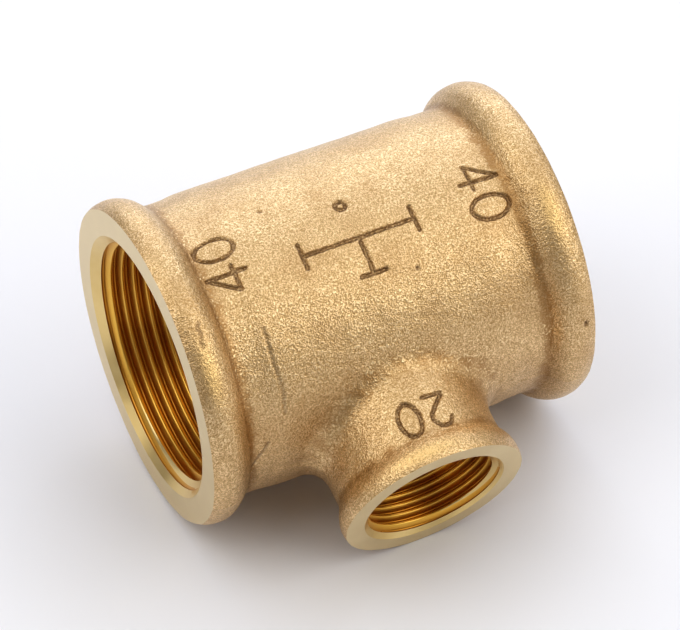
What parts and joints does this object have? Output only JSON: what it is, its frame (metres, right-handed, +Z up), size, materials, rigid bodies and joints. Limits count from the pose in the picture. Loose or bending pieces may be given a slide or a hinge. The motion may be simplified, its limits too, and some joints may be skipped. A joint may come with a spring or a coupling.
{
  "type": "pipe tee",
  "caption": "Bronze reducing tee casting: a straight run with a smaller branch square to it, three beaded ports tapped with parallel pipe thread.",
  "frame": {"origin": "middle of the bounding box at bench level, with the tee lying at rest on its two run beads and the branch rim", "axes": "+X along the run, +Z up from the bench; the branch is square to the run and points to -Y, dipping 19.72 degrees until its rim meets the bench"},
  "size_m": [0.076, 0.0772, 0.0618],
  "materials": {
    "cast_bronze": "sand-cast skin, with machined end faces, chamfers and threads"
  },
  "bodies": {
    "root": {"tee_body": "cast_bronze"}
  },
  "joints": []
}
